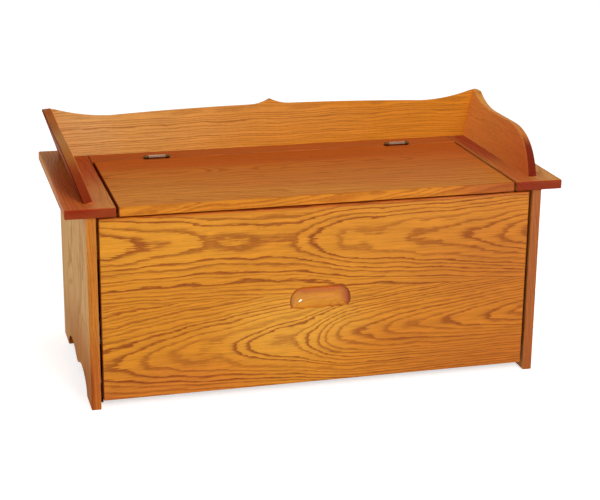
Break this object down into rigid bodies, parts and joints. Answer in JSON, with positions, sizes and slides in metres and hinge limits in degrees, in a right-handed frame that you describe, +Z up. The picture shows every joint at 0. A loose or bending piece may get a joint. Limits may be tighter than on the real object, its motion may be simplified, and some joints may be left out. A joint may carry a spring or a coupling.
{
  "type": "shoe storage chest",
  "caption": "Solid oak shoe storage bench with a hinged lid over a tray, a pull-out drawer with a scooped pull, and a low raked gallery around the seat.",
  "frame": {"origin": "on the floor, midway between the sides and midway between the front and back edges of the top", "axes": "+X to the right seen from the front, +Y to the back, +Z up"},
  "size_m": [0.994, 0.463, 0.505],
  "materials": {
    "oak_front": "gloss lacquer over golden stain",
    "oak_side": "gloss lacquer over golden stain, grain upright",
    "oak_edge": "gloss lacquer over golden stain, redder stock",
    "inner_wood": "clear satin over birch and plywood",
    "hinge_brass": "antique brass, darkened",
    "zinc_steel": "bright zinc plate"
  },
  "bodies": {
    "case": {"left_side_panel": "oak_side", "right_side_panel": "oak_side", "case_back": "inner_wood", "bottom_board": "inner_wood", "front_rail": "oak_edge", "rear_rail": "oak_edge", "tray_bottom": "inner_wood", "tray_cleats": "inner_wood", "cleat_screws": "zinc_steel", "left_end_board": "oak_edge", "right_end_board": "oak_edge", "hinge_rail": "oak_edge", "case_dowels": "inner_wood", "backrest": "oak_front", "left_arm": "oak_edge", "right_arm": "oak_edge", "gallery_screws": "zinc_steel", "left_hinge_rail_leaf": "hinge_brass", "right_hinge_rail_leaf": "hinge_brass", "left_hinge_pin": "hinge_brass", "right_hinge_pin": "hinge_brass", "hinge_rail_screws": "hinge_brass", "left_slide_outer": "zinc_steel", "right_slide_outer": "zinc_steel", "slide_outer_screws": "zinc_steel"},
    "lid": {"lid": "oak_front", "lid_battens": "oak_front", "lid_batten_screws": "zinc_steel", "left_hinge_lid_leaf": "hinge_brass", "right_hinge_lid_leaf": "hinge_brass", "hinge_lid_screws": "hinge_brass"},
    "drawer": {"drawer_front": "oak_front", "drawer_inner_front": "inner_wood", "drawer_left_side": "inner_wood", "drawer_right_side": "inner_wood", "drawer_back": "inner_wood", "drawer_bottom": "inner_wood", "drawer_front_screws": "zinc_steel", "left_slide_inner": "zinc_steel", "right_slide_inner": "zinc_steel", "slide_inner_screws": "zinc_steel"},
    "left_middle": {"left_slide_middle": "zinc_steel"},
    "right_middle": {"right_slide_middle": "zinc_steel"},
    "left_outer_balls": {"left_outer_ball_cage": "zinc_steel"},
    "right_outer_balls": {"right_outer_ball_cage": "zinc_steel"},
    "left_inner_balls": {"left_inner_ball_cage": "zinc_steel"},
    "right_inner_balls": {"right_inner_ball_cage": "zinc_steel"}
  },
  "joints": [
    {"name": "lid_hinge", "type": "hinge", "parent": "case", "child": "lid", "pos_m": [0, 0.1165, 0.4105], "axis": [-1, 0, 0], "range_deg": [0, 131]},
    {"name": "drawer_slide", "type": "slide", "parent": "case", "child": "drawer", "axis": [0, -1, 0], "range_m": [0, 0.38]},
    {"name": "left_middle_slide", "type": "slide", "parent": "case", "child": "left_middle", "axis": [0, -1, 0], "range_m": [0, 0.19]},
    {"name": "left_outer_ball_slide", "type": "slide", "parent": "case", "child": "left_outer_balls", "axis": [0, -1, 0], "range_m": [0, 0.095]},
    {"name": "left_inner_ball_slide", "type": "slide", "parent": "case", "child": "left_inner_balls", "axis": [0, -1, 0], "range_m": [0, 0.285]},
    {"name": "right_middle_slide", "type": "slide", "parent": "case", "child": "right_middle", "axis": [0, -1, 0], "range_m": [0, 0.19]},
    {"name": "right_outer_ball_slide", "type": "slide", "parent": "case", "child": "right_outer_balls", "axis": [0, -1, 0], "range_m": [0, 0.095]},
    {"name": "right_inner_ball_slide", "type": "slide", "parent": "case", "child": "right_inner_balls", "axis": [0, -1, 0], "range_m": [0, 0.285]}
  ],
  "couplings": [
    {"joint": "left_middle_slide", "follows": "drawer_slide", "ratio": 0.5},
    {"joint": "left_outer_ball_slide", "follows": "drawer_slide", "ratio": 0.25},
    {"joint": "left_inner_ball_slide", "follows": "drawer_slide", "ratio": 0.75},
    {"joint": "right_middle_slide", "follows": "drawer_slide", "ratio": 0.5},
    {"joint": "right_outer_ball_slide", "follows": "drawer_slide", "ratio": 0.25},
    {"joint": "right_inner_ball_slide", "follows": "drawer_slide", "ratio": 0.75}
  ]
}
